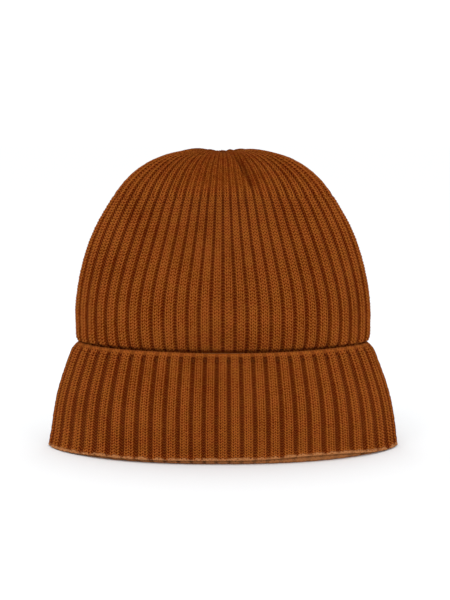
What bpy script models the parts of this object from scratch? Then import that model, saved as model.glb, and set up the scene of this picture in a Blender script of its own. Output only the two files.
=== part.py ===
"""A cuffed rib-knit beanie, standing on its turned-up cuff with the opening down.

Metres, +Z up, the front of the hat towards -Y. The origin is on the surface that the hat
stands on, under the middle of its box. Every wall is knitted fabric, so each piece of it is
a shell between an outer and an inner skin, lofted through flattened rings.
"""

import math

import bmesh
import bpy
from mathutils import Vector

# Driving dimensions
KNIT = 0.0032  # thickness of the rib fabric, lying relaxed
GAP = 0.0003  # clearance between pieces that touch
CROWN_HALF_WIDTH = 0.0987
CROWN_HALF_DEPTH = 0.0480
CROWN_HEIGHT = 0.2006  # before the gather pulls the very top in
SHOULDER_HEIGHT = 0.0900  # where the side starts to close towards the top
DECREASE_HEIGHT = 0.1700  # the row where ribs are knitted together
CUFF_HEIGHT = 0.0710
CUFF_TOP_HALF_WIDTH = 0.0989
CUFF_TOP_HALF_DEPTH = 0.0525
CUFF_FOOT_HALF_WIDTH = 0.1173
CUFF_FOOT_HALF_DEPTH = 0.0570
CUFF_BOW_WIDTH = 0.0026  # how far the flared cuff bulges past a straight slope
CUFF_BOW_DEPTH = 0.0008
CUFF_SLACK = 0.0012  # room between cuff and crown at the top of the cuff, front and back
HEM_HEIGHT = 0.0037  # the cast-on edge that ends the cuff
FOLD_HEIGHT = 0.0037  # the rolled fold that the hat stands on
GATHER_DEPTH = 0.0034
GATHER_REACH = 0.0140

# Shape of the rings
SIDE_POWERS = (2.35, 1.45)  # exponents across and along; 2 and 2 are an ellipse
TOP_POWERS = (2.0, 2.0)
WIDTH_CLOSING = (1.70, 2.95)  # exponents of the dome's outline, seen from the front
DEPTH_CLOSING = (2.00, 2.60)  # the same, seen from the side
TUCK_POWER = 5
RING_POINTS = 48

# Small pieces
YARN_RADIUS = 0.0005
GATHER_LOOP = (0.0042, 0.0017)  # half width and half depth of the drawn-in loop of yarn
APEX_ANGLE = math.radians(89)  # the last ring of the dome, round the bottom of the dimple
KNOT_RADIUS = 0.0024
SEAM_RADIUS = 0.0007
CUFF_SEAM_RADIUS = 0.0004
THREAD_RADIUS = 0.0003
LABEL_WIDTH = 0.0300
LABEL_DROP = 0.0360
LABEL_HEM = 0.0050
LABEL_THICKNESS = 0.0006
LABEL_TOP = 0.0640
LABEL_HINGE_OUT = 0.0012  # the flap turns about a line just in front of its stitching
STITCH_STEP = 0.0022
STITCH_RISE = 0.0009

RUST = (0.186, 0.041, 0.007, 1.0)
SEAM_BROWN = (0.130, 0.028, 0.005, 1.0)
THREAD_BROWN = (0.220, 0.060, 0.016, 1.0)
LABEL_CREAM = (0.700, 0.660, 0.570, 1.0)


def clear_scene():
    for obj in list(bpy.data.objects):
        bpy.data.objects.remove(obj, do_unlink=True)


def make_material(name, colour, roughness):
    material = bpy.data.materials.new(name)
    material.use_nodes = True
    shader = material.node_tree.nodes["Principled BSDF"]
    shader.inputs["Base Color"].default_value = colour
    shader.inputs["Roughness"].default_value = roughness
    shader.inputs["Metallic"].default_value = 0.0
    return material


def make_body(name, collection, location=(0, 0, 0), parent=None):
    """An empty on a joint's axis, which the pieces that move together hang from."""
    empty = bpy.data.objects.new(name, None)
    empty.empty_display_size = 0.02
    empty.location = location
    empty.parent = parent
    collection.objects.link(empty)
    return empty


# ---------------------------------------------------------------- outlines


def closing(share, powers):
    """How much of the full half size is left at this share of the dome's rise."""
    inner, outer = powers
    return max(0.0, 1 - share**inner) ** (1 / outer)


def cuff_half_width(z):
    share = z / CUFF_HEIGHT
    slope = CUFF_FOOT_HALF_WIDTH + (CUFF_TOP_HALF_WIDTH - CUFF_FOOT_HALF_WIDTH) * share
    return slope + 4 * CUFF_BOW_WIDTH * share * (1 - share)


def cuff_half_depth(z):
    share = z / CUFF_HEIGHT
    slope = CUFF_FOOT_HALF_DEPTH + (CUFF_TOP_HALF_DEPTH - CUFF_FOOT_HALF_DEPTH) * share
    return slope + 4 * CUFF_BOW_DEPTH * share * (1 - share)


def tube_half_sizes(z):
    """Outer half width and half depth of the knitted tube, from inside the cuff to the shoulder."""
    if z <= CUFF_HEIGHT:
        slack = CUFF_SLACK * (z / CUFF_HEIGHT) ** 2
        inset = KNIT + GAP
        return cuff_half_width(z) - inset, cuff_half_depth(z) - inset - slack
    waist_width, waist_depth = tube_half_sizes(CUFF_HEIGHT)
    left = (SHOULDER_HEIGHT - z) / (SHOULDER_HEIGHT - CUFF_HEIGHT)
    tuck = left**TUCK_POWER
    width = CROWN_HALF_WIDTH - (CROWN_HALF_WIDTH - waist_width) * tuck
    depth = CROWN_HALF_DEPTH - (CROWN_HALF_DEPTH - waist_depth) * tuck
    return width, depth


def bent(value, power):
    """A cosine or sine raised so that the ring through it has this exponent."""
    return math.copysign(abs(value) ** (2 / power), value)


def ring(half_width, half_depth, z, powers=SIDE_POWERS):
    """Points round a ring at height z: a flattened tube, a little pointed at its two sides."""
    points = []
    for i in range(RING_POINTS):
        turn = 2 * math.pi * i / RING_POINTS
        x = half_width * bent(math.cos(turn), powers[0])
        y = half_depth * bent(math.sin(turn), powers[1])
        points.append(Vector((x, y, z)))
    return points


def tube_ring(z, inset):
    width, depth = tube_half_sizes(z)
    return ring(width - inset, depth - inset, z)


def cuff_ring(z, inset):
    return ring(cuff_half_width(z) - inset, cuff_half_depth(z) - inset, z)


def dome_sizes(angle, inset):
    """Half width, half depth, height and ring exponents on the dome, at an angle from its foot."""
    share = math.sin(angle)
    width = (CROWN_HALF_WIDTH - inset) * closing(share, WIDTH_CLOSING)
    depth = (CROWN_HALF_DEPTH - inset) * closing(share, DEPTH_CLOSING)
    rise = CROWN_HEIGHT - SHOULDER_HEIGHT - inset
    dimple = GATHER_DEPTH * math.exp(-((width / GATHER_REACH) ** 2))
    powers = [side + (top - side) * share**2 for side, top in zip(SIDE_POWERS, TOP_POWERS)]
    return width, depth, SHOULDER_HEIGHT + rise * share - dimple, powers


def dome_ring(angle, inset):
    width, depth, z, powers = dome_sizes(angle, inset)
    return ring(width, depth, z, powers)


def dome_angle(z, inset):
    """The angle on the dome at height z, for rings cut level."""
    return math.asin((z - SHOULDER_HEIGHT) / (CROWN_HEIGHT - SHOULDER_HEIGHT - inset))


def steps(first, last, count):
    return [first + (last - first) * i / (count - 1) for i in range(count)]


# ---------------------------------------------------------------- mesh helpers


def add_object(name, mesh, material, collection, parent=None, location=(0, 0, 0)):
    mesh.materials.append(material)
    mesh.shade_smooth()
    mesh.set_sharp_from_angle(angle=math.radians(40))
    obj = bpy.data.objects.new(name, mesh)
    obj.location = location
    obj.parent = parent
    collection.objects.link(obj)
    return obj


def loft(name, stations, closed):
    """A mesh through rings of equal point counts. A station of one point closes an end."""
    shape = bmesh.new()
    rows = [[shape.verts.new(point) for point in station] for station in stations]
    pairs = list(zip(rows, rows[1:]))
    if closed:
        pairs.append((rows[-1], rows[0]))
    for near, far in pairs:
        for i in range(RING_POINTS):
            j = (i + 1) % RING_POINTS
            if len(near) == 1:
                shape.faces.new((near[0], far[j], far[i]))
            elif len(far) == 1:
                shape.faces.new((near[i], near[j], far[0]))
            else:
                shape.faces.new((near[i], near[j], far[j], far[i]))
    bmesh.ops.recalc_face_normals(shape, faces=shape.faces)
    mesh = bpy.data.meshes.new(name)
    shape.to_mesh(mesh)
    shape.free()
    return mesh


def tube_along(name, points, radius, material, collection, parent, cyclic=False):
    """A yarn or thread: a round bar along a list of points."""
    curve = bpy.data.curves.new(name, "CURVE")
    curve.dimensions = "3D"
    curve.bevel_depth = radius
    curve.bevel_resolution = 2
    curve.use_fill_caps = not cyclic
    spline = curve.splines.new("POLY")
    spline.points.add(len(points) - 1)
    for target, point in zip(spline.points, points):
        target.co = (*point, 1.0)
    spline.use_cyclic_u = cyclic
    curve.materials.append(material)
    obj = bpy.data.objects.new(name, curve)
    obj.parent = parent
    collection.objects.link(obj)
    return obj


def strip_mesh(name, width, thickness, height, centre):
    """A thin woven strip with softened edges."""
    shape = bmesh.new()
    bmesh.ops.create_cube(shape, size=1)
    bmesh.ops.scale(shape, vec=(width, thickness, height), verts=shape.verts)
    bmesh.ops.translate(shape, vec=centre, verts=shape.verts)
    bmesh.ops.bevel(
        shape,
        geom=shape.edges,
        offset=thickness / 4,
        segments=1,
        affect="EDGES",
        clamp_overlap=True,
    )
    mesh = bpy.data.meshes.new(name)
    shape.to_mesh(mesh)
    shape.free()
    return mesh


# ---------------------------------------------------------------- the knitted tube


def make_cuff_band(knit, collection, parent):
    """The turned-up layer, with the rolled fold that carries the hat."""
    top = CUFF_HEIGHT - HEM_HEIGHT - GAP
    roll = KNIT / 2
    both = 2 * KNIT + GAP
    outside = [(z, 0.0) for z in steps(top, roll * 1.9, 5)]
    foot = [
        (roll * 0.6, roll * 0.4),
        (0.0, roll),
        (0.0, both - roll),
        (roll * 0.6, both - roll * 0.4),
        (FOLD_HEIGHT, both),
    ]
    inside = [(z, KNIT) for z in steps(FOLD_HEIGHT, top, 5)]
    stations = [cuff_ring(z, inset) for z, inset in outside + foot + inside]
    mesh = loft("cuff_band", stations, closed=True)
    add_object("cuff_band", mesh, knit, collection, parent)


def make_hem_edge(knit, collection, parent):
    """The smooth cast-on edge that ends the turned-up layer."""
    bottom = CUFF_HEIGHT - HEM_HEIGHT
    soft = KNIT / 4
    section = [
        (bottom, 0.0),
        (CUFF_HEIGHT - soft, 0.0),
        (CUFF_HEIGHT, soft),
        (CUFF_HEIGHT, KNIT - soft),
        (CUFF_HEIGHT - soft, KNIT),
        (bottom, KNIT),
    ]
    stations = [cuff_ring(z, inset) for z, inset in section]
    mesh = loft("cuff_hem_edge", stations, closed=True)
    add_object("cuff_hem_edge", mesh, knit, collection, parent)


def make_inner_band(knit, collection, parent):
    """The part of the tube that lies inside the cuff, round the forehead."""
    heights = steps(FOLD_HEIGHT + GAP, CUFF_HEIGHT - GAP, 5)
    stations = [tube_ring(z, 0.0) for z in heights]
    stations += [tube_ring(z, KNIT) for z in reversed(heights)]
    mesh = loft("inner_band", stations, closed=True)
    add_object("inner_band", mesh, knit, collection, parent)


def make_crown_side(knit, collection, parent):
    """The ribbed wall, from the top of the cuff to the row of decreases."""
    low = [CUFF_HEIGHT, CUFF_HEIGHT + 0.006, SHOULDER_HEIGHT]
    high = steps(SHOULDER_HEIGHT, DECREASE_HEIGHT, 7)[1:]
    stations = []
    for inset, order in ((0.0, 1), (KNIT, -1)):
        skin = [tube_ring(z, inset) for z in low]
        skin += [dome_ring(dome_angle(z, inset), inset) for z in high]
        stations += skin[::order]
    mesh = loft("crown_side", stations, closed=True)
    add_object("crown_side", mesh, knit, collection, parent)


def make_crown_top(knit, collection, parent):
    """The closed top, where the ribs run together into the gather."""
    skins = []
    for inset in (0.0, KNIT):
        start = dome_angle(DECREASE_HEIGHT + GAP, inset)
        angles = steps(start, math.radians(86), 7) + [APEX_ANGLE]
        skin = [dome_ring(angle, inset) for angle in angles]
        top = CROWN_HEIGHT - inset - GATHER_DEPTH
        skins.append(skin + [[Vector((0, 0, top))]])
    mesh = loft("crown_top", skins[0][::-1] + skins[1], closed=False)
    add_object("crown_top", mesh, knit, collection, parent)


# ---------------------------------------------------------------- yarns


def make_gather(yarn, collection, parent):
    """The yarn drawn through the last stitches, and the knot that holds it inside."""
    height = dome_sizes(APEX_ANGLE, 0.0)[2] + GAP + YARN_RADIUS
    half_width, half_depth = GATHER_LOOP
    count = 16
    loop = []
    for i in range(count):
        turn = 2 * math.pi * i / count
        loop.append((half_width * math.cos(turn), half_depth * math.sin(turn), height))
    tube_along("gather_yarn", loop, YARN_RADIUS, yarn, collection, parent, cyclic=True)

    shape = bmesh.new()
    bmesh.ops.create_uvsphere(shape, u_segments=12, v_segments=8, radius=KNOT_RADIUS)
    mesh = bpy.data.meshes.new("gather_knot")
    shape.to_mesh(mesh)
    shape.free()
    below = CROWN_HEIGHT - KNIT - GATHER_DEPTH - GAP - KNOT_RADIUS
    add_object("gather_knot", mesh, yarn, collection, parent, location=(0, 0, below))


def make_inside_seam(yarn, collection, parent):
    """The linked seam that closes the knitted panel, up the inside of the back."""
    clear = KNIT + GAP + SEAM_RADIUS
    band = []
    for z in steps(FOLD_HEIGHT + GAP + SEAM_RADIUS, CUFF_HEIGHT - GAP, 8):
        band.append((0, tube_half_sizes(z)[1] - clear, z))
    tube_along("band_seam", band, SEAM_RADIUS, yarn, collection, parent)

    back = []
    for z in steps(CUFF_HEIGHT + GAP, SHOULDER_HEIGHT, 4):
        back.append((0, tube_half_sizes(z)[1] - clear, z))
    for angle in steps(math.radians(8), math.radians(78), 12):
        _, depth, z, _ = dome_sizes(angle, clear)
        back.append((0, depth, z))
    tube_along("back_seam", back, SEAM_RADIUS, yarn, collection, parent)


def make_cuff_seam(yarn, collection, parent):
    """The same seam on the turned-up layer, where its ridge shows at the back."""
    top = CUFF_HEIGHT - HEM_HEIGHT - GAP
    points = []
    for z in steps(CUFF_HEIGHT * 0.2, top - CUFF_SEAM_RADIUS, 8):
        points.append((0, cuff_half_depth(z) + GAP + CUFF_SEAM_RADIUS, z))
    tube_along("cuff_seam", points, CUFF_SEAM_RADIUS, yarn, collection, parent)


# ---------------------------------------------------------------- care label


def label_plane():
    """Y of the middle of the label, which is sewn on over the back seam."""
    wall = tube_half_sizes(LABEL_TOP)[1] - KNIT
    return wall - 2 * SEAM_RADIUS - 2 * GAP - LABEL_THICKNESS / 2


def make_label(woven, thread, collection, crown):
    """A blank folded label: a sewn hem, its stitching, and the flap that hangs from it."""
    plane = label_plane()
    hem_centre = (0, plane, LABEL_TOP - LABEL_HEM / 2)
    hem = strip_mesh("label_hem", LABEL_WIDTH, LABEL_THICKNESS, LABEL_HEM, hem_centre)
    add_object("label_hem", hem, woven, collection, crown)

    hinge = (0, plane - LABEL_HINGE_OUT, LABEL_TOP - LABEL_HEM - GAP)
    flap_centre = (0, LABEL_HINGE_OUT, -LABEL_DROP / 2)
    flap = strip_mesh("care_label", LABEL_WIDTH, LABEL_THICKNESS, LABEL_DROP, flap_centre)
    add_object("care_label", flap, woven, collection, crown, location=hinge)

    front = plane - LABEL_THICKNESS / 2 - GAP - THREAD_RADIUS
    count = int(LABEL_WIDTH * 0.9 / STITCH_STEP)
    points = []
    for i in range(count + 1):
        x = (i - count / 2) * STITCH_STEP
        rise = STITCH_RISE if i % 2 else -STITCH_RISE
        points.append((x, front, hem_centre[2] + rise))
    tube_along("label_stitching", points, THREAD_RADIUS, thread, collection, crown)


def main():
    clear_scene()
    collection = bpy.data.collections.new("cuffed_rib_beanie")
    bpy.context.scene.collection.children.link(collection)

    knit = make_material("rib_knit", RUST, 0.95)
    yarn = make_material("seam_yarn", SEAM_BROWN, 0.95)
    thread = make_material("label_thread", THREAD_BROWN, 0.8)
    woven = make_material("woven_label", LABEL_CREAM, 0.7)

    cuff = make_body("cuff_body", collection)
    crown = make_body("crown_body", collection, parent=cuff)
    hem = make_body("hem_body", collection, parent=crown)

    make_cuff_band(knit, collection, cuff)
    make_cuff_seam(yarn, collection, cuff)
    make_inner_band(knit, collection, crown)
    make_crown_side(knit, collection, crown)
    make_crown_top(knit, collection, crown)
    make_gather(yarn, collection, crown)
    make_inside_seam(yarn, collection, crown)
    make_label(woven, thread, collection, crown)
    make_hem_edge(knit, collection, hem)


main()
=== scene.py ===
"""The looks of a cuffed rib-knit beanie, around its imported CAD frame.

Every layer of cloth is a closed shell whose skin carries the ribs, the wales and the rows of
stitches as real relief. Lengths are in metres. Each point of the knitting has a rib number u,
counted round the hat from the middle of the back, and a row number v, counted upwards.
"""

import math

import bpy
import numpy as np
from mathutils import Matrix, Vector


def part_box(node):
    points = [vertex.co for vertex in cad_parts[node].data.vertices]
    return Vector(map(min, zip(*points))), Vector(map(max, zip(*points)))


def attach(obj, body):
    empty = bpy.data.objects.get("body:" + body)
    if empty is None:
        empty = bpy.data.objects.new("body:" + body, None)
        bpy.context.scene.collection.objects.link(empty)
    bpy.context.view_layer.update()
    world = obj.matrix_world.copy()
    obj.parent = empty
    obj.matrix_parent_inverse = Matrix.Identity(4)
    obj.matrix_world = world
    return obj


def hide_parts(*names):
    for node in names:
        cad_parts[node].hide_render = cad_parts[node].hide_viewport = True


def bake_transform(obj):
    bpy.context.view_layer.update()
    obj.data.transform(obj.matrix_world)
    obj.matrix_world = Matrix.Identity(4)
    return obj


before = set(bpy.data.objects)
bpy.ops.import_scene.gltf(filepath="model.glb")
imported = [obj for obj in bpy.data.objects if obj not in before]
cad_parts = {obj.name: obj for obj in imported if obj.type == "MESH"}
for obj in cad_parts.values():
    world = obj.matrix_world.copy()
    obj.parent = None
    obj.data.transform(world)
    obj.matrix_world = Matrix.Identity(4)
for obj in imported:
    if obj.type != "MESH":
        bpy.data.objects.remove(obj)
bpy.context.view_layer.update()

# ---------------------------------------------------------------- sizes

def corners(node):
    """The lowest and the highest corner of a CAD node."""
    return [np.array(corner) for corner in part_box(node)]


SIDE_LOW, SIDE_HIGH = corners("crown_side")
EDGE_LOW = corners("cuff_hem_edge")[0]
BAND_SEAM_LOW, BAND_SEAM_HIGH = corners("band_seam")
BACK_SEAM_LOW = corners("back_seam")[0]
CUFF_SEAM_LOW, CUFF_SEAM_HIGH = corners("cuff_seam")
GATHER_LOW, GATHER_HIGH = corners("gather_yarn")
KNOT_LOW, KNOT_HIGH = corners("gather_knot")
LABEL_HEM_LOW, LABEL_HEM_HIGH = corners("label_hem")
STITCH_LOW, STITCH_HIGH = corners("label_stitching")
FLAP_LOW, FLAP_HIGH = corners("care_label")

CROWN_HALF_WIDTH = SIDE_HIGH[0]
CROWN_HALF_DEPTH = SIDE_HIGH[1]
CUFF_HEIGHT = SIDE_LOW[2]
DECREASE_HEIGHT = SIDE_HIGH[2]
EDGE_BASE = EDGE_LOW[2]

KNIT = 0.0032  # thickness of the cloth
GAP = 0.0003  # between two layers that touch
CROWN_HEIGHT = 0.2006  # before the gather pulls the very top in
SHOULDER_HEIGHT = 0.0900
CUFF_TOP_HALF_WIDTH = 0.0989
CUFF_TOP_HALF_DEPTH = 0.0525
CUFF_FOOT_HALF_WIDTH = 0.1173
CUFF_FOOT_HALF_DEPTH = 0.0570
CUFF_BOW_WIDTH = 0.0026
CUFF_BOW_DEPTH = 0.0008
CUFF_SLACK = 0.0012
SIDE_POWERS = (2.35, 1.45)
TOP_POWERS = (2.0, 2.0)
WIDTH_CLOSING = (1.70, 2.95)
DEPTH_CLOSING = (2.00, 2.60)
TUCK_POWER = 5  # how suddenly the crown's foot draws in to its waist
GATHER_DEPTH = 0.0034
GATHER_REACH = 0.0140
FOLD_HEIGHT = 0.0037

# ---------------------------------------------------------------- knitting

RIBS = 56
WALES = 4 * RIBS  # a rib is two knit wales and the two purl wales of the valley beside it
ROW = 0.0020
CUFF_ROW = 0.00175
RIB_DEPTH = 0.0022
WALE_DEPTH = 0.00055
STITCH_DEPTH = 0.00040
PURL_DEPTH = 0.00045
STITCH_UNEVENNESS = 0.00014
CROWN_PROUD = 0.0012  # how far the ribs' tops stand out from the plain CAD wall, low on the crown
CUFF_PROUD = 0.0014
CURL_DEPTH = 0.0018  # how far the crown's foot curls in behind the cuff's edge, in front
CURL_HEIGHT = 0.0016
SIDE_FILL = 0.0018  # how far it bulges out instead at the two sides
TOP_DROP = 0.0012  # how far the crown draws in towards the gather
LEG_SLOPE = 0.62  # rows that a stitch's leg climbs from the middle of its wale to the side
PURL_SLOPE = 5.0  # rows that a purl bump climbs across a whole rib
# Where the columns of points lie across one rib, from the valley on its left
COLUMNS = np.array([0.0, 0.09, 0.15, 0.215, 0.335, 0.42, 0.5, 0.58, 0.665, 0.785, 0.85, 0.91])
WALE_MIDDLE = 0.165  # of a wale, as a share of a rib from the rib's middle
RIB_EDGE = (0.270, 0.450)
SIDE_OPENING = 0.07  # how much wider the valleys are stretched open at the two sides
CROWN_CLOSING = 0.035  # and how much narrower they are on the crown than on the stretched cuff
POINTS_PER_ROW = 3
CROWN_SPREAD = (0.09, 0.15)  # how much closer ribs lie at the middle of the front, low and higher up
CUFF_SPREAD = (0.19, -0.06)
RIB_WANDER = 0.04
CRISP = 0.04  # rows from the end of a layer to its first full row
CROWN_SWELL = 0.0008
CUFF_SWELL = 0.0006
CUFF_PINCH = 0.0030  # how far the cuff's top corners are drawn in
CUFF_BULGE = 0.0008
DECREASE_DIP = 0.00025
INNER_RELIEF = 0.45  # share of the relief that the inside shows

U = (np.arange(RIBS)[:, None] + COLUMNS[None, :]).ravel()
UNEVEN = np.random.default_rng(5).uniform(-1, 1, (256, WALES))


def smooth(low, high, value):
    share = np.clip((value - low) / (high - low), 0, 1)
    return share * share * (3 - 2 * share)


def hill(value, middle, reach):
    return np.exp(-(((value - middle) / reach) ** 2))


def closing(share, powers):
    return np.clip(1 - np.clip(share, 0, 1) ** powers[0], 0, None) ** (1 / powers[1])


def bent(value, power):
    return np.copysign(np.abs(value) ** (2 / power), value)


def cuff_sizes(z):
    share = z / CUFF_HEIGHT
    bow = 4 * share * (1 - share)
    width = CUFF_FOOT_HALF_WIDTH + (CUFF_TOP_HALF_WIDTH - CUFF_FOOT_HALF_WIDTH) * share
    depth = CUFF_FOOT_HALF_DEPTH + (CUFF_TOP_HALF_DEPTH - CUFF_FOOT_HALF_DEPTH) * share
    return width + CUFF_BOW_WIDTH * bow, depth + CUFF_BOW_DEPTH * bow


def body_profile():
    """Rows of half width, half depth, height and the two ring exponents, up the tube."""
    z = np.linspace(FOLD_HEIGHT + GAP, CUFF_HEIGHT, 200, endpoint=False)
    width, depth = cuff_sizes(z)
    slack = CUFF_SLACK * (z / CUFF_HEIGHT) ** 2
    band = np.stack([width - KNIT - GAP, depth - KNIT - GAP - slack, z], 1)

    z = np.linspace(CUFF_HEIGHT, SHOULDER_HEIGHT, 100, endpoint=False)
    waist_width = CUFF_TOP_HALF_WIDTH - KNIT - GAP
    waist_depth = CUFF_TOP_HALF_DEPTH - KNIT - GAP - CUFF_SLACK
    tuck = ((SHOULDER_HEIGHT - z) / (SHOULDER_HEIGHT - CUFF_HEIGHT)) ** TUCK_POWER
    width = CROWN_HALF_WIDTH - (CROWN_HALF_WIDTH - waist_width) * tuck
    depth = CROWN_HALF_DEPTH - (CROWN_HALF_DEPTH - waist_depth) * tuck
    side = np.stack([width, depth, z], 1)

    share = np.sin(np.linspace(0, math.radians(89.6), 900))
    width = CROWN_HALF_WIDTH * closing(share, WIDTH_CLOSING)
    depth = CROWN_HALF_DEPTH * closing(share, DEPTH_CLOSING)
    dome = np.stack([width, depth, SHOULDER_HEIGHT + (CROWN_HEIGHT - SHOULDER_HEIGHT) * share], 1)

    sizes = np.concatenate([band, side, dome])
    rounding = np.clip((sizes[:, 2:] - SHOULDER_HEIGHT) / (CROWN_HEIGHT - SHOULDER_HEIGHT), 0, 1) ** 2
    powers = np.array(SIDE_POWERS) + (np.array(TOP_POWERS) - np.array(SIDE_POWERS)) * rounding
    return np.concatenate([sizes, powers], 1)


def path_length(profile):
    """Length of knitting up the profile, between that of its front and that of its side."""
    step = np.diff(profile[:, :3], axis=0)
    length = np.sqrt(step[:, 2] ** 2 + (step[:, 0] ** 2 + step[:, 1] ** 2) / 2)
    return np.concatenate([[0], np.cumsum(length)])


def lay_round(shares, sizes):
    """Points at shares of a ring's girth from the middle of its back, one row for each ring."""
    turn = np.linspace(0.5, 2.5, 1601) * math.pi
    across, along = np.cos(turn), np.sin(turn)
    rows = []
    for share, (width, depth, z, power_x, power_y) in zip(shares, sizes):
        x = width * bent(across, power_x)
        y = depth * bent(along, power_y)
        length = np.concatenate([[0], np.cumsum(np.hypot(np.diff(x), np.diff(y)))])
        at = share % 1 * length[-1]
        rows.append(np.stack([np.interp(at, length, x), np.interp(at, length, y), np.full_like(at, z)], 1))
    return np.array(rows)


def spread(share, closeness):
    """Moves ribs towards the middle of the front and of the back, away from the two sides."""
    return share - closeness / (4 * math.pi) * np.sin(4 * math.pi * share)


def normals_of(points):
    """Outward normals of a grid of rows round a ring."""
    around = np.roll(points, -1, axis=1) - np.roll(points, 1, axis=1)
    up = np.gradient(points, axis=0)
    normal = np.cross(around, up)
    return normal / np.maximum(np.linalg.norm(normal, axis=-1, keepdims=True), 1e-12)


def waves(u, v, seed, count, low, high):
    """A smooth random field within about -1 to 1, the same on both sides of the seam."""
    random = np.random.default_rng(seed)
    total = 0
    for _ in range(count):
        turns = random.integers(low, high)
        climb = random.uniform(-0.10, 0.10)
        phase = random.uniform(0, 2 * math.pi)
        total = total + np.sin(2 * math.pi * turns * u / RIBS + climb * v + phase)
    return total / count * 1.5


def relief(u, v, single=0.0, closing_in=0.0):
    """How far the skin lies below the tops of its ribs.

    single goes from 0, two wales on each rib, to 1, one wale, as above the decreases.
    closing_in is how much narrower the valleys are than on the cuff.
    """
    q = np.abs(u - np.floor(u) - 0.5)
    from_front = np.abs(u - RIBS / 2)
    opening = SIDE_OPENING * smooth(4, 12, from_front) * smooth(24, 16, from_front)
    rib = 1 - smooth(*RIB_EDGE, q + opening - closing_in)
    across = (q - WALE_MIDDLE * (1 - single)) / (WALE_MIDDLE * (1 + single))
    across = np.clip(across, -1, 1)
    leg = v - LEG_SLOPE * (1 + single) * np.abs(across)
    strand = 1 - (2 * (leg - np.floor(leg)) - 1) ** 2
    purl = v + PURL_SLOPE * q
    bump = 1 - (2 * (purl - np.floor(purl)) - 1) ** 2
    row = np.floor(leg).astype(int) % len(UNEVEN)
    wale = np.floor(u * 4).astype(int) % WALES
    height = (rib - 1) * RIB_DEPTH - across**2 * rib * WALE_DEPTH
    height = height + (strand - 1) * rib * STITCH_DEPTH + bump * (1 - rib) * PURL_DEPTH
    return height + UNEVEN[row, wale] * strand * rib * STITCH_UNEVENNESS


# ---------------------------------------------------------------- meshes


def add_piece(name, mesh, material):
    mesh.materials.append(material)
    obj = bpy.data.objects.new(name, mesh)
    bpy.context.scene.collection.objects.link(obj)
    return obj


def mesh_from(name, points, loops, sizes, uv=None):
    """A smooth mesh from points, the faces' corners one after another, and corners per face."""
    mesh = bpy.data.meshes.new(name)
    mesh.vertices.add(len(points))
    mesh.vertices.foreach_set("co", points.astype(np.float32).ravel())
    mesh.loops.add(len(loops))
    mesh.loops.foreach_set("vertex_index", loops.astype(np.int32))
    mesh.polygons.add(len(sizes))
    starts = np.concatenate([[0], np.cumsum(sizes)[:-1]])
    mesh.polygons.foreach_set("loop_start", starts.astype(np.int32))
    mesh.polygons.foreach_set("use_smooth", np.ones(len(sizes), bool))
    if uv is not None:
        layer = mesh.uv_layers.new(name="knit")
        layer.data.foreach_set("uv", uv.astype(np.float32).ravel())
    mesh.update(calc_edges=True)
    mesh.validate()
    return mesh


def shell(name, points, material, u=None, v=None, poles=()):
    """A closed mesh from rows of points round a ring, with rib and row numbers as a UV map.

    The last row joins the first, or with two poles the first and last rows close on them.
    """
    rows, columns = points.shape[:2]
    u = np.linspace(0, RIBS, columns, endpoint=False) if u is None else u
    v = np.arange(rows) if v is None else v
    last = rows - 1 if poles else rows
    i = np.repeat(np.arange(last), columns)
    j = np.tile(np.arange(columns), last)
    above = (i + 1) % rows
    right = (j + 1) % columns
    u_right = np.where(right == 0, u[0] + RIBS, u[right])
    low, high = i * columns, above * columns
    quads = np.stack([low + j, low + right, high + right, high + j], 1)
    uv = np.stack([u[j], v[i], u_right, v[i], u_right, v[above], u[j], v[above]], 1).reshape(-1, 2)
    loops = quads.ravel()
    sizes = np.full(len(quads), 4)
    flat = points.reshape(-1, 3)
    if poles:
        j = np.arange(columns)
        right = (j + 1) % columns
        u_right = np.where(right == 0, u[0] + RIBS, u[right])
        foot, top = len(flat), len(flat) + 1
        last_row = (rows - 1) * columns
        fans = np.concatenate([
            np.stack([np.full(columns, foot), right, j], 1),
            np.stack([np.full(columns, top), last_row + j, last_row + right], 1),
        ])
        first, final = np.full(columns, v[0]), np.full(columns, v[-1])
        fan_uv = np.concatenate([
            np.stack([u[j], first, u_right, first, u[j], first], 1),
            np.stack([u[j], final, u[j], final, u_right, final], 1),
        ]).reshape(-1, 2)
        flat = np.concatenate([flat, np.array(poles)])
        loops = np.concatenate([loops, fans.ravel()])
        sizes = np.concatenate([sizes, np.full(len(fans), 3)])
        uv = np.concatenate([uv, fan_uv])
    return add_piece(name, mesh_from(name, flat, loops, sizes, uv), material)


# ---------------------------------------------------------------- the knitted tube

PROFILE = body_profile()
LENGTH = path_length(PROFILE)
LAST_ROW = LENGTH[-1] / ROW
CROWN_ROW = np.interp(CUFF_HEIGHT - 0.0002, PROFILE[:, 2], LENGTH) / ROW
DECREASE_ROW = np.interp(DECREASE_HEIGHT, PROFILE[:, 2], LENGTH) / ROW

# The pull of the gather on the top of the crown
CREASE_TOP = 0.1975
CREASE_DROP = 0.0300
CREASE_START = 0.0060  # to the right of the hat's middle
CREASE_SLANT = 0.0165  # how much farther right its foot lies
CREASE_DEPTH = 0.0078
CREASE_RIDGE = 0.0026
CREASE_REACH = 0.0035
HOLLOW_DEPTH = 0.0018
LINE_DEPTH = 0.0018
PLEATS = ((0.0008, 9, 0.8), (0.0006, 15, 2.0))  # depth, number and phase of the fine pleats


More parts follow.
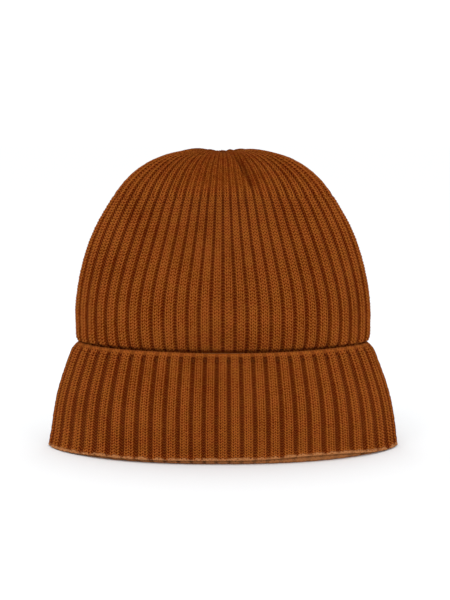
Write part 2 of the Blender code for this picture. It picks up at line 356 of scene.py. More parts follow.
def pleats(points):
    """How far the gather draws the top in: a crease, a soft hollow, a short line and fine pleats."""
    x, y, z = points[..., 0], points[..., 1], points[..., 2]
    front = smooth(0.006, -0.004, y)
    down = np.clip((CREASE_TOP - z) / CREASE_DROP, 0, 1)
    window = smooth(0.0, 0.18, down) * smooth(1.0, 0.25, down)
    beyond = x - CREASE_START - CREASE_SLANT * down
    fading = np.exp(-np.clip(beyond, 0, 1) / (CREASE_REACH + CREASE_REACH * down))
    under = smooth(-0.0006, 0.0006, beyond) * fading
    crease = CREASE_RIDGE * hill(beyond, -0.0020, 0.0022) - CREASE_DEPTH * under
    hollow = -HOLLOW_DEPTH * hill(x, -0.0105, 0.0050) * hill(z, 0.1820, 0.0080)
    line_x = 0.0116 + (0.180 - z) * 0.21
    line = -LINE_DEPTH * hill(x, line_x, 0.0008) * hill(z, 0.1700, 0.0075)
    roundness = 1.9
    reach = np.hypot(x, roundness * y)
    turn = np.arctan2(roundness * y, x)
    fine = sum(depth * np.sin(count * turn + phase) for depth, count, phase in PLEATS)
    return crease * window * front + (hollow + line) * front + fine * hill(reach, 0.014, 0.012)


def body_rows(v, inset, relief_scale):
    """Points of the tube's skin on rows v, inset from the tops of its ribs."""
    sizes = np.stack([np.interp(v * ROW, LENGTH, PROFILE[:, k]) for k in range(5)], 1)
    height = ((sizes[:, 2] - SHOULDER_HEIGHT) / (CROWN_HEIGHT - SHOULDER_HEIGHT))[:, None]
    column, row = U[None, :], v[:, None]
    low, rise = CROWN_SPREAD
    closeness = low + rise * smooth(0.05, 0.60, height)
    wandering = (column + RIB_WANDER * waves(column, row, 3, 9, 2, 9)) / RIBS
    points = lay_round(spread(wandering, closeness), sizes)
    reach = np.hypot(points[..., 0], points[..., 1] * 1.6)
    points[..., 2] -= GATHER_DEPTH * np.exp(-((reach / GATHER_REACH) ** 2))
    normal = normals_of(points)
    above = smooth(DECREASE_ROW - 1.5, DECREASE_ROW + 0.5, row)
    faded = smooth(DECREASE_ROW - 1, DECREASE_ROW + 6, row) * (0.15 + 0.45 * hill(column - RIBS / 2, 0, 6))
    open_top = smooth(0.998, 0.93, height)
    skin = relief(column, row, above, CROWN_CLOSING) * (1 - faded) * (0.25 + 0.75 * open_top)
    step = -DECREASE_DIP * hill(row, DECREASE_ROW, 0.7)
    proud = CROWN_PROUD * smooth(0.60, 0.0, height) * smooth(-0.14, 0.0, height)
    drawn_in = TOP_DROP * hill(height, 0.68, 0.15)
    sideways = smooth(0.60, 0.95, np.abs(points[..., 0]) / CROWN_HALF_WIDTH)
    over_cuff = sizes[:, 2:3] - CUFF_HEIGHT
    curl = CURL_DEPTH * (1 - smooth(0.0, CURL_HEIGHT, np.abs(over_cuff))) * (1 - sideways)
    clear_of_edge = smooth(0.0007, 0.0022, over_cuff)
    bulge = SIDE_FILL * hill(over_cuff, 0.002, 0.008) * sideways * clear_of_edge
    free = smooth(-0.14, 0.05, height) * open_top
    swell = CROWN_SWELL * waves(column, row, 11, 8, 2, 7) * free
    fold = pleats(points) * (height > 0.5)
    shape = swell + proud + bulge - curl - drawn_in + fold
    return points + normal * (skin * relief_scale + step + shape - inset)[..., None]


def body_shell(name, first_row, last_row, material, closed_top=False):
    """A closed shell of the tube between two rows, with relief on both skins."""
    steps = np.arange(math.ceil(first_row * POINTS_PER_ROW) + 1, math.floor(last_row * POINTS_PER_ROW))
    foot = [first_row, first_row + CRISP]
    head = [last_row - CRISP, last_row]
    outer_v = np.concatenate([foot, steps / POINTS_PER_ROW, head])
    inner_v = np.linspace(first_row, last_row, max(4, int(last_row - first_row)))
    outer = body_rows(outer_v, 0.0, 1.0)
    inner = body_rows(inner_v, KNIT, INNER_RELIEF)
    if not closed_top:
        points = np.concatenate([outer, inner[::-1]])
        return shell(name, points, material, U, np.concatenate([outer_v, inner_v[::-1]]))
    points = np.concatenate([inner[::-1], outer])
    v = np.concatenate([inner_v[::-1], outer_v])
    dimple = np.array([0, 0, 0.0004])
    poles = (inner[-1].mean(axis=0), outer[-1].mean(axis=0) - dimple)
    return shell(name, points, material, U, v, poles)


# ---------------------------------------------------------------- the turned-up cuff

RIM = 0.0030  # height of the light rim where the fold begins
CUFF_BASE = RIM + 0.0012  # height at which the cuff's ribs begin
BASE_ROW = 3  # the row number there
CAST_ON_ROW = BASE_ROW + (CUFF_HEIGHT - 0.0020 - CUFF_BASE) / CUFF_ROW
INSIDE_ROWS = 16
TUCK_ROWS = np.array([0.1, 0.3])  # past the last row, under the cast-on edge
BOTH_LAYERS = 2 * KNIT + GAP

# Round the fold: heights, insets and row numbers of the inside of the roll and the flat it stands on,
FOLD_SEAT = (
    (FOLD_HEIGHT, BOTH_LAYERS, 0.0), (0.0022, BOTH_LAYERS, 0.2), (0.0009, BOTH_LAYERS - 0.0004, 0.4),
    (0.0, BOTH_LAYERS - 0.0016, 0.6), (0.0, BOTH_LAYERS / 2, 0.7), (0.0, 0.0026, 0.8),
)
# of the strip below the rim,
FOLD_STRIP = (
    (0.0003, 0.0015, 0.8), (0.0007, 0.0009, 1.0), (0.0011, 0.0006, 1.2), (0.0015, 0.0006, 1.4),
    (0.0019, 0.0009, 1.6), (0.0023, 0.0016, 1.8),
)
# and of the rim
FOLD_RIM = (
    (0.0025, 0.0012, 1.95), (0.0026, 0.0003, 2.1), (0.0028, -0.0002, 2.3), (RIM, -0.0003, 2.5),
    (0.0034, -0.00022, 2.7), (0.0038, -0.0001, 2.85),
)
STRIP_RELIEF = 0.30
RIM_RELIEF = (0.2, 0.12, 0.1, 0.1, 0.15, 0.3)


def rim_rise(x, y):
    """How far the rim stands above its usual height: the fold lies a little askew in front."""
    front = smooth(0.010, -0.010, y)
    askew = 0.0018 * hill(x, 0.058, 0.030) - 0.0008 * hill(x, -0.070, 0.035)
    ends = -0.0022 * smooth(0.075, 0.112, np.abs(x))
    return front * askew + ends


def cuff_rows(z, inset, v, share, swelling=0.0):
    """Points of the cuff at heights z and insets, and how far out the relief moves each of them.

    share is the share of the ribs' relief on each row, v the row numbers.
    """
    z, inset, v, share = (np.asarray(a, float) for a in (z, inset, v, share))
    width, depth = cuff_sizes(z)
    power_x, power_y = (np.full_like(z, p) for p in SIDE_POWERS)
    bow = CUFF_BULGE * hill(z, 0.036, 0.020)
    proud = (CUFF_PROUD + bow) * (inset < KNIT / 2) * smooth(0.0, 0.004, z)
    outside = 1 - np.clip(inset / KNIT, 0, 1)
    pinch = CUFF_PINCH * smooth(CUFF_HEIGHT - 0.0080, CUFF_HEIGHT, z) ** 4 * outside
    sizes = np.stack([width - inset + proud - pinch, depth - inset + proud, z, power_x, power_y], 1)
    column, row = U[None, :] + 0.5, v[:, None]
    low, rise = CUFF_SPREAD
    closeness = low + rise * (z[:, None] / CUFF_HEIGHT)
    wandering = (column + RIB_WANDER * waves(column, row, 5, 9, 2, 9)) / RIBS
    points = lay_round(spread(wandering, closeness), sizes)
    height = relief(U[None, :], row) * share[:, None]
    height = height + swelling * waves(column, row, 17, 8, 2, 7) * smooth(0.004, 0.015, z)[:, None]
    rise = rim_rise(points[..., 0], points[..., 1])
    rise = rise * np.interp(z, [0.0004, RIM, 0.020], [0, 1, 0])[:, None]
    grown = [new / old for new, old in zip(cuff_sizes(z[:, None] + rise), cuff_sizes(z[:, None]))]
    points[..., 0] *= grown[0]
    points[..., 1] *= grown[1]
    points[..., 2] += rise
    return points, height


def cuff_shell(material):
    """The turned-up layer: up the outside, down the inside, and round the fold it stands on."""
    z = np.linspace(CUFF_BASE, EDGE_BASE, int((EDGE_BASE - CUFF_BASE) / CUFF_ROW * POINTS_PER_ROW))
    v = BASE_ROW + (z - CUFF_BASE) / CUFF_ROW
    share = 0.45 + 0.55 * smooth(CUFF_BASE, CUFF_BASE + 0.004, z)
    points, height = cuff_rows(z, np.zeros_like(z), v, share, CUFF_SWELL)
    outer = points + normals_of(points) * height[..., None]

    # The outside ends under the cast-on edge, which laps over it
    tuck_z = EDGE_BASE + np.array([0.0002, 0.0006])
    under, height = cuff_rows(tuck_z, [0.0006, 0.0016], v[-1] + TUCK_ROWS, [1.0, 0.5])
    under = under + normals_of(under) * height[..., None]

    inner_z = np.linspace(EDGE_BASE - GAP, FOLD_HEIGHT, INSIDE_ROWS)
    inner_v = v[-1] - 1.5 * np.arange(INSIDE_ROWS)
    inner, _ = cuff_rows(inner_z, np.full(INSIDE_ROWS, KNIT), inner_v, np.zeros(INSIDE_ROWS))

    around = np.array(FOLD_SEAT + FOLD_STRIP + FOLD_RIM)
    seat_share = np.zeros(len(FOLD_SEAT))
    strip_share = np.full(len(FOLD_STRIP), STRIP_RELIEF)
    share = np.concatenate([seat_share, strip_share, RIM_RELIEF])
    points, height = cuff_rows(around[:, 0], around[:, 1], around[:, 2], share)
    fold = points + normals_of(points) * height[..., None]
    fold[..., 2] = np.maximum(fold[..., 2], 0.0)
    rows = np.concatenate([outer, under, inner, fold])
    row_numbers = np.concatenate([v, v[-1] + TUCK_ROWS, inner_v, around[:, 2]])
    return shell("turned_up_cuff", rows, material, U, row_numbers)


def cast_on_edge(material):
    """The smooth edge where the knitting was cast on, a row of small loops above the last ribs."""
    soft = 0.0009
    lap = [EDGE_BASE - 0.0004, EDGE_BASE - 0.0003]
    outer_z = np.concatenate([lap, np.linspace(EDGE_BASE, CUFF_HEIGHT - soft, 9)])
    turn = np.radians(np.linspace(20, 160, 8))
    over_z = CUFF_HEIGHT - soft + soft * np.sin(turn)
    over_inset = KNIT / 2 - (KNIT / 2) * np.cos(turn)
    inner_z = np.linspace(CUFF_HEIGHT - soft, EDGE_BASE, 4)
    z = np.concatenate([outer_z, over_z, inner_z])
    inset = np.concatenate([np.zeros_like(outer_z), over_inset, np.full_like(inner_z, KNIT)])
    behind = len(over_z) + len(inner_z)
    outer_share = smooth(CUFF_HEIGHT - 0.0014, EDGE_BASE + 0.0004, outer_z)
    share = np.concatenate([outer_share, np.zeros(behind)])
    v = BASE_ROW + (outer_z - CUFF_BASE) / CUFF_ROW
    v = np.concatenate([v, v[-1] + 0.2 * np.arange(1, behind + 1)])
    points, height = cuff_rows(z, inset, v, share, CUFF_SWELL)
    shown = (inset < KNIT * 0.9)[:, None]
    loops = 0.5 + 0.5 * np.cos(2 * math.pi * 4 * U)[None, :]
    bulge = smooth(EDGE_BASE + 0.0008, CUFF_HEIGHT - 0.0012, z)[:, None] * shown
    height = height * shown + bulge * (0.00015 + 0.00022 * loops) + 0.00005
    rows = points + normals_of(points) * height[..., None]
    return shell("cast_on_edge", rows, material, U, v)


# ---------------------------------------------------------------- yarns and label


SEAM_RADIUS = 0.0009
CUFF_SEAM_RADIUS = 0.0006
GATHER_RADIUS = 0.00055
KNOT_RADIUS = 0.00062
THREAD_RADIUS = 0.00026
SEAM_SWAY = (0.00035, 0.0040)  # how far a linked seam sways, and over what length
CUFF_SEAM_SWAY = (0.00030, 0.0035)
ZIGZAG = 0.0044  # length of a zigzag stitch on the label


def yarn(name, path, radius, material, twist=0.004, cyclic=False, spare=0.36, sides=16):
    """A two-ply yarn along a path: one closed tube whose oval section turns as it goes."""
    path = np.array(path, float)
    if cyclic:
        tangent = np.roll(path, -1, axis=0) - np.roll(path, 1, axis=0)
        step = np.linalg.norm(np.roll(path, -1, axis=0) - path, axis=1)
        turns = max(1, round(step.sum() / twist))
        phase = math.pi * turns * np.concatenate([[0], np.cumsum(step)[:-1]]) / step.sum()
    else:
        tangent = np.gradient(path, axis=0)
        step = np.linalg.norm(np.diff(path, axis=0), axis=1)
        phase = math.pi * np.concatenate([[0], np.cumsum(step)]) / twist
    tangent = tangent / np.linalg.norm(tangent, axis=1, keepdims=True)
    side = np.cross(tangent, np.array([0.31, 0.22, 0.92]))
    side = side / np.linalg.norm(side, axis=1, keepdims=True)
    other = np.cross(tangent, side)
    around = np.linspace(0, 2 * math.pi, sides, endpoint=False)
    turned = around[None, :] - phase[:, None]
    size = radius * (1 - spare + spare * np.abs(np.cos(turned)))
    sideways = np.cos(around)[None, :, None] * side[:, None, :]
    otherways = np.sin(around)[None, :, None] * other[:, None, :]
    points = path[:, None, :] + (sideways + otherways) * size[..., None]
    if cyclic:
        return shell(name, points, material)
    return shell(name, points, material, poles=(path[0], path[-1]))


def body_back(z):
    """Y of the inner skin at the middle of the back, at heights z."""
    order = np.argsort(PROFILE[:, 2])
    return np.interp(z, PROFILE[order, 2], PROFILE[order, 1]) - KNIT


def sway(at, reach, length):
    return reach * np.sin(2 * math.pi * at / length)


def seam_path(low, high, count):
    z = np.linspace(low, high, count)
    return np.stack([sway(z, *SEAM_SWAY), body_back(z) - 0.0008, z], 1)


def seam_over_top(count):
    """The back seam, up the inside of the back and over towards the gather."""
    steep = PROFILE[:, 2] > BACK_SEAM_LOW[2] + 0.0010
    rows = PROFILE[steep][:, :3]
    slope = np.gradient(rows[:, 1:], axis=0)
    normal = np.stack([slope[:, 1], -slope[:, 0]], 1)
    normal = normal / np.linalg.norm(normal, axis=1, keepdims=True)
    path = rows[:, 1:] - normal * (KNIT + 0.0009)
    length = np.concatenate([[0], np.cumsum(np.linalg.norm(np.diff(path, axis=0), axis=1))])
    end = np.interp(BACK_SEAM_LOW[1], -path[:, 0], length)
    at = np.linspace(0, end, count)
    y = np.interp(at, length, path[:, 0])
    z = np.interp(at, length, path[:, 1])
    return np.stack([sway(at, *SEAM_SWAY), y, z], 1)


def cuff_seam_path(count):
    z = np.linspace(CUFF_SEAM_LOW[2] + 0.0005, CUFF_SEAM_HIGH[2], count)
    return np.stack([sway(z, *CUFF_SEAM_SWAY), cuff_sizes(z)[1] + 0.0003, z], 1)


def gather_path(count):
    turn = np.linspace(0, 2 * math.pi, count, endpoint=False)
    middle = (GATHER_LOW + GATHER_HIGH) / 2
    half = (GATHER_HIGH - GATHER_LOW) / 2 - 0.0005
    x = middle[0] + half[0] * np.cos(turn)
    y = middle[1] + half[1] * np.sin(turn)
    z = middle[2] + 0.00012 * np.sin(5 * turn)
    return np.stack([x, y, z], 1)


def knot_path(count):
    """An overhand knot drawn tight, as a trefoil."""
    turn = np.linspace(0, 2 * math.pi, count, endpoint=False)
    middle = (KNOT_LOW + KNOT_HIGH) / 2
    x = np.sin(turn) + np.cos(2 * turn)
    y = np.cos(turn) - np.sin(2 * turn)
    z = -np.sin(3 * turn)
    return middle + 0.00095 * np.stack([x, y, 0.9 * z], 1)


def cloth_strip(name, low, high, bend, material, columns=32, rows=40):
    """A thin woven strip in the XZ plane between two corners, as a closed shell.

    bend gives how far each point of it lies in front of the strip's plane, towards -Y.
    """
    x = np.linspace(low[0], high[0], columns)
    z = np.linspace(high[2], low[2], rows)
    grid_x, grid_z = np.meshgrid(x, z)
    across = (grid_x - low[0]) / (high[0] - low[0])
    down = (high[2] - grid_z) / (high[2] - low[2])
    middle = (low[1] + high[1]) / 2 - bend(across, down)
    half = (high[1] - low[1]) / 2
    front = np.stack([grid_x, middle - half, grid_z], -1)
    back = np.stack([grid_x, middle + half, grid_z], -1)
    loop = np.concatenate([front, back[:, ::-1]], axis=1)
    poles = (loop[0].mean(axis=0), loop[-1].mean(axis=0))
    return shell(name, loop, material, poles=poles)


def hem_bend(across, down):
    """The hem lies on the wall at its two ends and rides over the seam in the middle."""
    return -0.0016 * (2 * np.abs(across - 0.5)) ** 2.2 + 0.0002 * np.sin(2 * math.pi * down)


def flap_bend(across, down):
    curl = 0.0012 * np.sin(math.pi * down) * (0.6 + 0.4 * np.cos(2 * math.pi * (across - 0.42)))
    start = smooth(0.0, 0.25, down)
    return start * (curl + 0.0004 * np.sin(2 * math.pi * (across * 1.2 + down * 0.6)))


def stitching_path(count):
    """Small zigzag stitches along the hem of the label."""
    share = np.linspace(0, 1, count)
    x = STITCH_LOW[0] + (STITCH_HIGH[0] - STITCH_LOW[0]) * share
    middle = (STITCH_LOW + STITCH_HIGH) / 2
    swing = np.arcsin(np.sin(2 * math.pi * x / ZIGZAG)) / (math.pi / 2)
    half = (STITCH_HIGH[2] - STITCH_LOW[2]) / 2 - 0.0003
    across = (x - LABEL_HEM_LOW[0]) / (LABEL_HEM_HIGH[0] - LABEL_HEM_LOW[0])
    y = LABEL_HEM_LOW[1] - hem_bend(across, 0.5) - 0.00015
    return np.stack([x, y, middle[2] + half * swing], 1)


# ---------------------------------------------------------------- materials


class Nodes:
    """Short names for the shader nodes that the materials use."""

    def __init__(self, material):
        material.use_nodes = True
        self.tree = material.node_tree
        self.shader = self.tree.nodes["Principled BSDF"]

    def fill(self, socket, value):
        if isinstance(value, bpy.types.NodeSocket):
            self.tree.links.new(value, socket)
        else:
            socket.default_value = value

    def math(self, operation, *values, clamp=False):
        node = self.tree.nodes.new("ShaderNodeMath")
        node.operation = operation
        node.use_clamp = clamp
        for socket, value in zip(node.inputs, values):
            self.fill(socket, value)
        return node.outputs[0]

    def times(self, a, b):
        return self.math("MULTIPLY", a, b)

    def plus(self, a, b):
        return self.math("ADD", a, b)

    def less(self, a, b):
        return self.math("SUBTRACT", a, b)

    def rest(self, share):
        """What a share leaves of 1."""
        return self.less(1.0, share)

    def arch(self, value):
        """1 in the middle of every whole step of value, and 0 at its ends."""
        ridge = self.less(self.times(self.math("FRACT", value), 2.0), 1.0)
        return self.rest(self.times(ridge, ridge))

    def ramp(self, value, low, high):
        """0 below low, 1 above high, and smooth between."""
        node = self.tree.nodes.new("ShaderNodeMapRange")
        node.interpolation_type = "SMOOTHSTEP"
        node.inputs["From Min"].default_value = low
        node.inputs["From Max"].default_value = high
        self.fill(node.inputs["Value"], value)
        return node.outputs["Result"]

    def noise(self, scale, detail=2.0):
        node = self.tree.nodes.new("ShaderNodeTexNoise")
        node.inputs["Scale"].default_value = scale
        node.inputs["Detail"].default_value = detail
        self.fill(node.inputs["Vector"], self.tree.nodes.new("ShaderNodeTexCoord").outputs["Object"])
        return node.outputs[0]

    def mix(self, share, low, high):
        node = self.tree.nodes.new("ShaderNodeMix")
        node.data_type = "RGBA"
        colours = [socket for socket in node.inputs if socket.type == "RGBA"]
        self.fill(node.inputs[0], share)
        self.fill(colours[0], low)
        self.fill(colours[1], high)
        return [socket for socket in node.outputs if socket.type == "RGBA"][0]

    def bump(self, height, distance):
        node = self.tree.nodes.new("ShaderNodeBump")
        node.inputs["Distance"].default_value = distance
        node.inputs["Strength"].default_value = 1.0
        self.fill(node.inputs["Height"], height)
        self.fill(self.shader.inputs["Normal"], node.outputs[0])

    def surface(self, roughness, specular=0.04, sheen=0.0, tint=(1, 1, 1, 1)):
        self.shader.inputs["Roughness"].default_value = roughness
        self.shader.inputs["Specular IOR Level"].default_value = specular
        self.shader.inputs["Sheen Weight"].default_value = sheen
        self.shader.inputs["Sheen Roughness"].default_value = 0.5
        self.shader.inputs["Sheen Tint"].default_value = tint


# Linear colours of the wool: painted shade in a hole, the wool's own colour on a stitch's legs, a painted
# highlight on top of them, a painted highlight on the rim round the fold, and painted shade in a valley.
# Darker and lighter heather fibres take the hole's and the top's colours too. It varies between red and
# gold.
HOLE_PAINTED_SHADE = (0.032, 0.0015, 0.0001, 1)
WOOL_RED = (0.136, 0.0170, 0.0004, 1)
WOOL_GOLD = (0.130, 0.0220, 0.0006, 1)
HIGHLIGHT_RED = (0.342, 0.0900, 0.0155, 1)
HIGHLIGHT_GOLD = (0.334, 0.0960, 0.0145, 1)
RIM_PAINTED_HIGHLIGHT = (0.460, 0.1950, 0.0720, 1)
VALLEY_PAINTED_SHADE = (0.058, 0.0028, 0.0001, 1)
WOOL_TINT = (1.0, 0.42, 0.12, 1)
# The darkest and the lightest colour of the smaller things
SEAM_WOOL = ((0.090, 0.016, 0.002, 1), (0.220, 0.052, 0.009, 1))
SEWING_THREAD = ((0.150, 0.038, 0.010, 1), (0.270, 0.078, 0.022, 1))
SATIN = ((0.60, 0.56, 0.48, 1), (0.76, 0.72, 0.63, 1))
# Cells per metre and detail of the noises
FUZZ_NOISE = (2400.0, 3.0)
PATCH_NOISE = (45.0, 3.0)
HEATHER_NOISE = (1100.0, 2.0)
HUE_NOISE = (170.0, 2.0)
CONTRAST = 0.95  # of the stitches' pattern, which paints highlights and shade into the colour
HEATHER = 0.9  # how much single fibres differ in lightness
PATCHINESS = 0.34  # how much whole areas do
COLUMN_SHADE = 0.26  # how much painted shade darkens the lines between legs and between wales
VALLEY_EDGE = (0.320, 0.430)  # where a valley, with its painted shade, begins and is full, from the rib's middle
NO_DECREASE = 1e6  # a row far above the hat


def knit_material(name, closing_in=0.0, decrease_row=NO_DECREASE, rim=False):
    """Rust wool in rib knit: legs of stitches on the wales, purl bumps in the valleys, and fuzz.

    closing_in is how much narrower the valleys are than on the cuff, and above decrease_row each
    rib has one wale. The colour carries painted highlights on the stitches' tops and painted shade in
    their holes and in the valleys. With a rim, a painted highlight lightens the wool round the fold and
    along the free edge, and painted light lifts the shaded strip below the fold.
    """
    material = bpy.data.materials.new(name)
    n = Nodes(material)
    uv = n.tree.nodes.new("ShaderNodeUVMap")
    uv.uv_map = "knit"
    split = n.tree.nodes.new("ShaderNodeSeparateXYZ")
    n.fill(split.inputs[0], uv.outputs[0])
    u, v = split.outputs[0], split.outputs[1]

    q = n.math("ABSOLUTE", n.less(n.math("FRACT", u), 0.5))
    single = n.math("GREATER_THAN", v, decrease_row)
    middle = n.times(n.rest(single), WALE_MIDDLE)
    half = n.times(n.plus(single, 1.0), WALE_MIDDLE)
    across = n.math("ABSOLUTE", n.math("DIVIDE", n.less(q, middle), half))
    from_front = n.math("ABSOLUTE", n.less(u, RIBS / 2))
    at_side = n.times(n.ramp(from_front, 4, 12), n.rest(n.ramp(from_front, 16, 24)))
    opened = n.plus(q, n.times(at_side, SIDE_OPENING))
    in_valley = n.ramp(opened, VALLEY_EDGE[0] + closing_in, VALLEY_EDGE[1] + closing_in)
    on_rib = n.rest(in_valley)

    leg = n.arch(n.less(v, n.times(n.times(across, LEG_SLOPE), n.plus(single, 1.0))))
    between_legs = n.rest(n.ramp(across, 0.10, 0.55))
    between_wales = n.ramp(across, 0.65, 0.95)
    shut = n.rest(leg)
    hole = n.times(n.math("MAXIMUM", between_legs, n.times(between_wales, 0.9)), shut)
    column = n.math("MAXIMUM", between_legs, between_wales)
    stitch = n.times(n.plus(n.times(leg, 0.5), 0.5), n.rest(hole))
    stitch = n.times(stitch, n.rest(n.times(column, COLUMN_SHADE)))
    purl = n.arch(n.plus(v, n.times(q, PURL_SLOPE)))
    pattern = n.plus(n.times(stitch, on_rib), n.times(n.times(purl, 0.80), in_valley))

    fuzz = n.noise(*FUZZ_NOISE)
    n.bump(n.plus(pattern, n.times(fuzz, 0.6)), 0.00045)

    patch = n.noise(*PATCH_NOISE)
    heather = n.noise(*HEATHER_NOISE)
    hue = n.noise(*HUE_NOISE)
    aside = n.ramp(from_front, 3.0, 9.0)
    faint = n.times(n.ramp(v, decrease_row - 1, decrease_row + 6), n.less(0.55, n.times(aside, 0.35)))
    faded = n.rest(faint)
    # Painted light and shade of the stitches' pattern, with the heather's and the patches' own lightness
    light = n.plus(n.times(n.less(pattern, 0.5), faded), 0.5)
    light = n.plus(n.times(light, CONTRAST), n.times(n.less(heather, 0.5), HEATHER))
    light = n.plus(light, n.times(n.less(patch, 0.5), PATCHINESS))
    golden = n.ramp(hue, 0.35, 0.65)
    wool = n.mix(golden, WOOL_RED, WOOL_GOLD)
    # The painted highlight colour of the stitches' tops
    top = n.mix(golden, HIGHLIGHT_RED, HIGHLIGHT_GOLD)
    # Dark ends go to the painted shade of the holes, light ends to the painted highlight
    colour = n.mix(n.ramp(light, 0.0, 0.42), HOLE_PAINTED_SHADE, wool)
    colour = n.mix(n.ramp(light, 0.36, 0.90), colour, top)
    # Painted shade in the valleys
    valley_shade = n.times(n.times(in_valley, faded), n.less(0.92, n.times(purl, 0.44)))
    colour = n.mix(valley_shade, colour, VALLEY_PAINTED_SHADE)
    if rim:
        # Painted highlight on the rim round the fold, and painted light on the shaded strip below it
        scallop = n.plus(n.less(0.5, q), n.times(n.less(hue, 0.5), 2.0))
        rim_highlight = n.times(n.ramp(v, 1.9, 2.3), n.rest(n.ramp(n.less(v, scallop), 2.6, 3.2)))
        rim_highlight = n.times(rim_highlight, n.ramp(heather, 0.30, 0.50))
        strip_lift = n.times(n.ramp(v, 0.6, 0.8), n.rest(n.ramp(v, 1.7, 1.9)))
        rim_highlight = n.math("MAXIMUM", rim_highlight, n.times(strip_lift, 0.75))
        # Painted highlight along the cast-on edge
        edge_highlight = n.ramp(v, CAST_ON_ROW, CAST_ON_ROW + 0.5)
        colour = n.mix(n.times(edge_highlight, 0.35), colour, top)
        colour = n.mix(n.times(rim_highlight, 0.80), colour, RIM_PAINTED_HIGHLIGHT)
    n.fill(n.shader.inputs["Base Color"], colour)
    n.surface(0.95, specular=0.01, sheen=0.04, tint=WOOL_TINT)
    return material


def yarn_material(name, dark, light):
    """Twisted yarn or thread with fine fibres."""
    material = bpy.data.materials.new(name)
    n = Nodes(material)
    fibre = n.noise(3200.0, 3.0)
    n.bump(fibre, 0.0002)
    n.fill(n.shader.inputs["Base Color"], n.mix(n.ramp(fibre, 0.3, 0.7), dark, light))
    n.surface(0.9, specular=0.05, sheen=0.08, tint=WOOL_TINT)
    return material


def satin_material(name):
    """Blank cream satin ribbon: a fine weave of lines across it, a little glossy."""
    material = bpy.data.materials.new(name)
    n = Nodes(material)
    place = n.tree.nodes.new("ShaderNodeTexCoord")
    split = n.tree.nodes.new("ShaderNodeSeparateXYZ")
    n.fill(split.inputs[0], place.outputs["Object"])
    weft = n.arch(n.times(split.outputs[2], 2900.0))
    warp = n.arch(n.times(split.outputs[0], 2100.0))
    weave = n.plus(n.times(weft, 0.7), n.times(warp, 0.3))
    n.bump(weave, 0.00006)
    shade = n.plus(n.times(weave, 0.5), n.times(n.noise(260.0), 0.5))
    n.fill(n.shader.inputs["Base Color"], n.mix(shade, *SATIN))
    n.surface(0.42, specular=0.45)
    return material


def floor_material():
    material = bpy.data.materials.new("white_floor")
    n = Nodes(material)
    n.shader.inputs["Base Color"].default_value = FLOOR_COLOUR
    n.surface(1.0, specular=0.0)
    return material


# ---------------------------------------------------------------- stage

CAMERA_MIDDLE = 0.0013
CAMERA_HEIGHT = 0.2053
CAMERA_DISTANCE = 0.900
AIM_HEIGHT = 0.0993
PICTURE_HEIGHT = 0.400  # what the picture takes in at the hat
SENSOR = 36.0
FLOOR_HALF = 60.0
FLOOR_COLOUR = (0.893, 0.910, 0.920, 1)
SKY_STRENGTH = 1.12
HAT_MIDDLE = (0, 0, 0.09)
LAMPS = (("key", (-0.6, -1.0, 1.3), 0.9, 4.0), ("fill", (0.8, -1.0, 0.8), 1.0, 2.0))


def make_camera():
    data = bpy.data.cameras.new("camera")
    data.sensor_width = SENSOR
    data.lens = SENSOR * CAMERA_DISTANCE / PICTURE_HEIGHT
    camera = bpy.data.objects.new("camera", data)
    place = Vector((CAMERA_MIDDLE, -CAMERA_DISTANCE, CAMERA_HEIGHT))
    aim = Vector((CAMERA_MIDDLE, 0, AIM_HEIGHT))
    camera.location = place
    camera.rotation_euler = (aim - place).to_track_quat("-Z", "Y").to_euler()
    bpy.context.scene.collection.objects.link(camera)
    bpy.context.scene.camera = camera


def area_light(name, place, aim, size, power):
    data = bpy.data.lights.new(name, "AREA")
    data.shape = "DISK"
    data.size = size
    data.energy = power
    light = bpy.data.objects.new(name, data)
    light.location = place
    light.rotation_euler = (Vector(aim) - Vector(place)).to_track_quat("-Z", "Y").to_euler()
    bpy.context.scene.collection.objects.link(light)


def make_stage():
    world = bpy.data.worlds.new("studio")
    world.use_nodes = True
    background = world.node_tree.nodes["Background"]
    background.inputs["Color"].default_value = (1, 1, 1, 1)
    background.inputs["Strength"].default_value = SKY_STRENGTH
    bpy.context.scene.world = world
    ground = np.array([(-1, -1, 0), (1, -1, 0), (1, 1, 0), (-1, 1, 0)]) * FLOOR_HALF
    mesh = mesh_from("floor", ground, np.arange(4), np.array([4]))
    floor = add_piece("floor", mesh, floor_material())
    for name, place, size, power in LAMPS:
        area_light(name, place, HAT_MIDDLE, size, power)
    bpy.context.scene.view_settings.view_transform = "Standard"


# ---------------------------------------------------------------- assembly


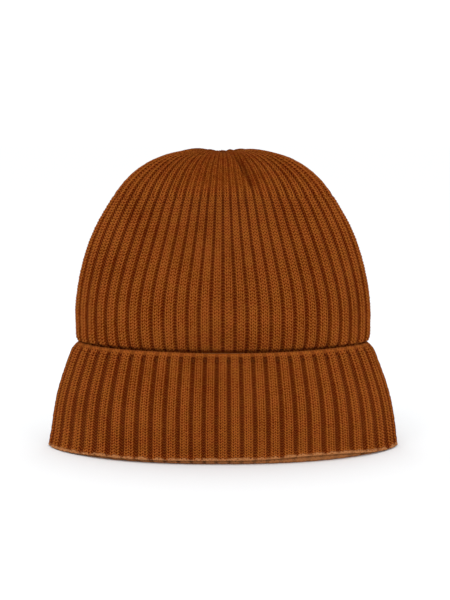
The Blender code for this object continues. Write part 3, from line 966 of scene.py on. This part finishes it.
def knit_pieces():
    knit = knit_material("rib_knit_wool", CROWN_CLOSING, DECREASE_ROW)
    plain = knit_material("rib_knit_cuff", rim=True)
    band = body_shell("inner_band_knit", 0.0, CROWN_ROW - GAP / ROW, knit)
    side = body_shell("crown_side_knit", CROWN_ROW, DECREASE_ROW, knit)
    top = body_shell("crown_top_knit", DECREASE_ROW + 0.1 * GAP / ROW, LAST_ROW, knit, closed_top=True)
    cuff = cuff_shell(plain)
    edge = cast_on_edge(plain)
    for piece, node in ((band, "inner_band"), (side, "crown_side"), (top, "crown_top")):
        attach(piece, "crown")
        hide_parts(node)
    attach(edge, "hem")
    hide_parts("cuff_hem_edge")
    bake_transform(cuff)
    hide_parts("cuff_band")
    return band, side, top, cuff, edge


def yarn_pieces():
    wool = yarn_material("seam_wool", *SEAM_WOOL)
    band_path = seam_path(BAND_SEAM_LOW[2], BAND_SEAM_HIGH[2], 160)
    band_seam = yarn("band_seam_yarn", band_path, SEAM_RADIUS, wool)
    back_seam = yarn("back_seam_yarn", seam_over_top(360), SEAM_RADIUS, wool)
    cuff_seam = yarn("cuff_seam_yarn", cuff_seam_path(140), CUFF_SEAM_RADIUS, wool, twist=0.0030)
    gather = yarn("gather_loop", gather_path(96), GATHER_RADIUS, wool, twist=0.0028, cyclic=True)
    knot = yarn("gather_trefoil_knot", knot_path(160), KNOT_RADIUS, wool, twist=0.0026, cyclic=True)
    for piece, node in (
        (band_seam, "band_seam"), (back_seam, "back_seam"), (gather, "gather_yarn"), (knot, "gather_knot"),
    ):
        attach(piece, "crown")
        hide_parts(node)
    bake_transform(cuff_seam)
    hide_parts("cuff_seam")
    return band_seam, back_seam, cuff_seam, gather, knot


def label_pieces():
    satin = satin_material("cream_satin")
    thread = yarn_material("label_sewing_thread", *SEWING_THREAD)
    hem = cloth_strip("label_hem_satin", LABEL_HEM_LOW, LABEL_HEM_HIGH, hem_bend, satin, rows=12)
    flap = cloth_strip("care_label_satin", FLAP_LOW, FLAP_HIGH, flap_bend, satin)
    sewing = yarn("label_zigzag", stitching_path(240), THREAD_RADIUS, thread, twist=0.0012)
    for piece, node, slot in (
        (hem, "label_hem", "woven_label"), (sewing, "label_stitching", "label_thread"),
    ):
        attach(piece, "crown")
        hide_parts(node)
    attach(flap, "label")
    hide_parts("care_label")
    return hem, flap, sewing


def main():
    make_camera()
    make_stage()
    band, side, top, cuff, edge = knit_pieces()
    band_seam, back_seam, cuff_seam, gather, knot = yarn_pieces()
    hem, flap, sewing = label_pieces()


main()
